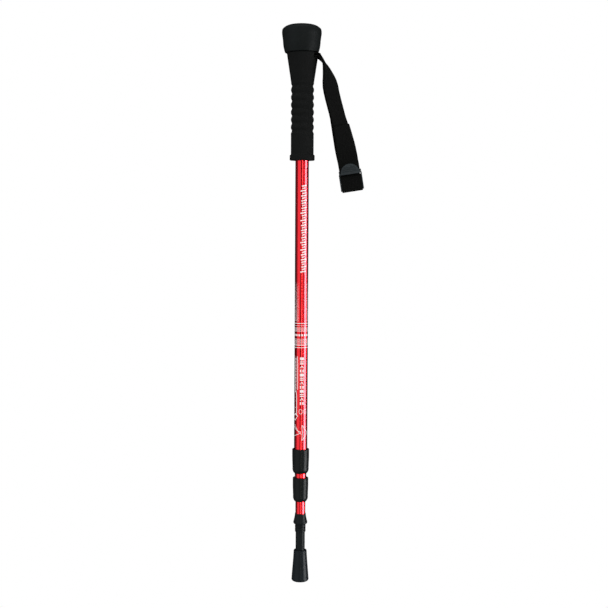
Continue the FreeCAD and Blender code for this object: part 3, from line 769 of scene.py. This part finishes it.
# ---- print on the upper tube -----------------------------------------------------------------
INK_THICK = 0.02 * MM
INK_GAP = 0.004 * MM


class Ink:
    """Thin closed strokes laid on a tube: places are (degrees from the front, height in mm)."""

    def __init__(self, radius):
        self.radius = radius
        self.points, self.faces = [], []

    def point(self, across, height, lift):
        a = across / self.radius
        r = self.radius + lift
        return (math.sin(a) * r, -math.cos(a) * r, height)

    def stroke(self, start, end, width):
        (a0, z0), (a1, z1) = start, end
        s0, s1 = math.radians(a0) * self.radius, math.radians(a1) * self.radius
        way = Vector((s1 - s0, (z1 - z0) * MM))
        side = Vector((-way.y, way.x)).normalized() * width * MM / 2
        steps = max(1, math.ceil(abs(a1 - a0) / 6), math.ceil(abs(side.x) / self.radius / 0.05))
        first = len(self.points)
        for k in range(steps + 1):
            share = k / steps
            s, z = s0 + (s1 - s0) * share, z0 * MM + (z1 - z0) * MM * share
            for sign, lift in ((-1, INK_GAP), (1, INK_GAP), (1, INK_THICK), (-1, INK_THICK)):
                self.points.append(self.point(s + side.x * sign, z + side.y * sign, lift))
        for k in range(steps):
            base = first + 4 * k
            for i in range(4):
                j = (i + 1) % 4
                self.faces.append((base + i, base + j, base + 4 + j, base + 4 + i))
        self.faces.append((first, first + 3, first + 2, first + 1))
        last = first + 4 * steps
        self.faces.append((last, last + 1, last + 2, last + 3))

    def line(self, places, width, closed=False):
        ring = places + places[:1] if closed else places
        for start, end in zip(ring, ring[1:]):
            self.stroke(start, end, width)

    def block(self, left, right, low_z, high_z):
        self.stroke((left, (low_z + high_z) / 2), (right, (low_z + high_z) / 2), high_z - low_z)


def slanted_column(ink):
    """Run of short leaning bars of mixed lengths, at an even pitch, up the front of the tube."""
    rhythm = (34, 20, 30, 16, 26, 34, 18, 30, 22, 34, 16, 28)
    z = 377.5
    k = 0
    while z < 480.5:
        middle = 17 + (k % 3 - 1) * 3
        half = rhythm[k % len(rhythm)] / 1.35
        ink.stroke((middle - half, z - 0.5), (middle + half, z + 0.7), 1.35)
        z += 2.9
        k += 1


def dotted_panels(ink):
    """Fine dot screens up both sides."""
    row = 0
    z = 318.5
    while z < 364.5:
        fade = 1 - (z - 318.5) / 60
        shift = 4 if row % 2 else 0
        for a in range(-84, -24, 9):
            ink.stroke((a + shift - 2 * fade, z), (a + shift + 2 * fade, z), 0.45)
        for a in range(48, 88, 9):
            ink.stroke((a + shift - 2 * fade, z), (a + shift + 2 * fade, z), 0.45)
        z += 0.95
        row += 1


def woven_band(ink):
    """Bands of fine lines and dashes right round the tube."""
    for z, width in ((315.7, 0.7), (313.0, 0.35), (291.0, 0.35), (289.6, 0.7), (286.6, 0.6)):
        for k in range(8):
            ink.stroke((k * 45, z), (k * 45 + 45, z), width)
    for low_z, high_z, pitch in ((305.6, 312.2, 10), (292.0, 298.2, 10)):
        rows = int((high_z - low_z) / 1.1)
        for row in range(rows):
            z = low_z + 0.5 + row * 1.1
            shift = 5 if row % 2 else 0
            for a in range(0, 360, pitch):
                ink.stroke((a + shift, z), (a + shift + 5.6, z), 0.55)
    for a in range(0, 360, 24):
        ink.block(a, a + 14, 300.4, 302.8)


def big_chevrons(ink):
    """Large leaning bars and chevrons wrapped round the left of the tube, with a dashed shadow."""
    for z in range(206, 278, 12):
        ink.line([(-112, z + 1.0), (-64, z + 6.0), (-112, z + 11.0)], 4.2)
    ink.line([(-34, 276.0), (-30, 268.0), (-30, 236.0)], 0.7)
    ink.line([(-46, 234.0), (-40, 228.0), (-40, 206.0)], 0.9)
    for k in range(24):
        z = 233.0 + k * 1.75
        ink.stroke((-58, z), (-44, z + 0.5), 0.8)
    ink.line([(-80, 204.0), (-52, 206.6), (-28, 203.4)], 1.1)
    ink.line([(-80, 200.0), (-56, 198.6), (-36, 202.6)], 0.9)


def front_blocks(ink):
    """Column of plain squares, bars and triangles down the front."""
    z = 275.0
    k = 0
    while z > 217.0:
        kind = k % 4
        if kind == 0:
            ink.block(-9, 24, z - 3.4, z)
        elif kind == 1:
            ink.block(-9, 24, z - 1.2, z)
            ink.block(-9, 24, z - 3.6, z - 2.2)
        elif kind == 2:
            ink.line([(-7, z - 3.2), (7, z - 0.4), (22, z - 3.2)], 1.0)
        else:
            ink.block(-9, 2, z - 3.4, z)
            ink.block(12, 24, z - 3.4, z)
        z -= 4.9
        k += 1


def outlines(ink):
    """Thin outlined rings and a crossed triangle under the blocks."""
    for centre, half in ((-2, 15), (38, 13)):
        ring = [(centre + half * math.cos(math.radians(t)), 209.4 + 2.9 * math.sin(math.radians(t)))
                for t in range(0, 360, 30)]
        ink.line(ring, 0.45, closed=True)
    ink.line([(10, 193.0), (62, 183.6), (10, 174.4), (14, 183.6)], 0.6, closed=True)
    ink.line([(-78, 191.5), (-32, 186.2), (0, 184.6)], 0.55)
    ink.line([(-64, 193.4), (-20, 185.0), (2, 182.0)], 0.55)
    ink.line([(-78, 178.6), (-34, 181.4), (0, 183.4)], 0.55)


def mesh_of(ink, name, material):
    piece = mesh_object(name, ink.points, ink.faces, material, smooth=False)
    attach(piece, "handle")
    return piece


def make_print(material):
    for name, marks in (("print_bars", (slanted_column,)),
                        ("print_dots", (dotted_panels,)),
                        ("print_bands", (woven_band,)),
                        ("print_shapes", (big_chevrons, front_blocks, outlines))):
        ink = Ink(TUBE_R)
        for draw in marks:
            draw(ink)
        mesh_of(ink, name, material)


make_camera()
make_stage()
make_lights()
looks = make_materials()
dress_nodes(looks)
softened("strap_buckle", "buckle_body", 0.22 * MM, looks["buckle"], "buckle")
make_tube("upper_tube", "handle", looks["red"])
make_tube("middle_tube", "middle_section", looks["red"])
make_tube("lower_tube", "lower_section", looks["red"])
make_foam(looks["foam"])
make_strap(looks["web"])
make_spring(looks["steel"])
make_print(looks["print"])
scene.view_settings.view_transform = "Standard"
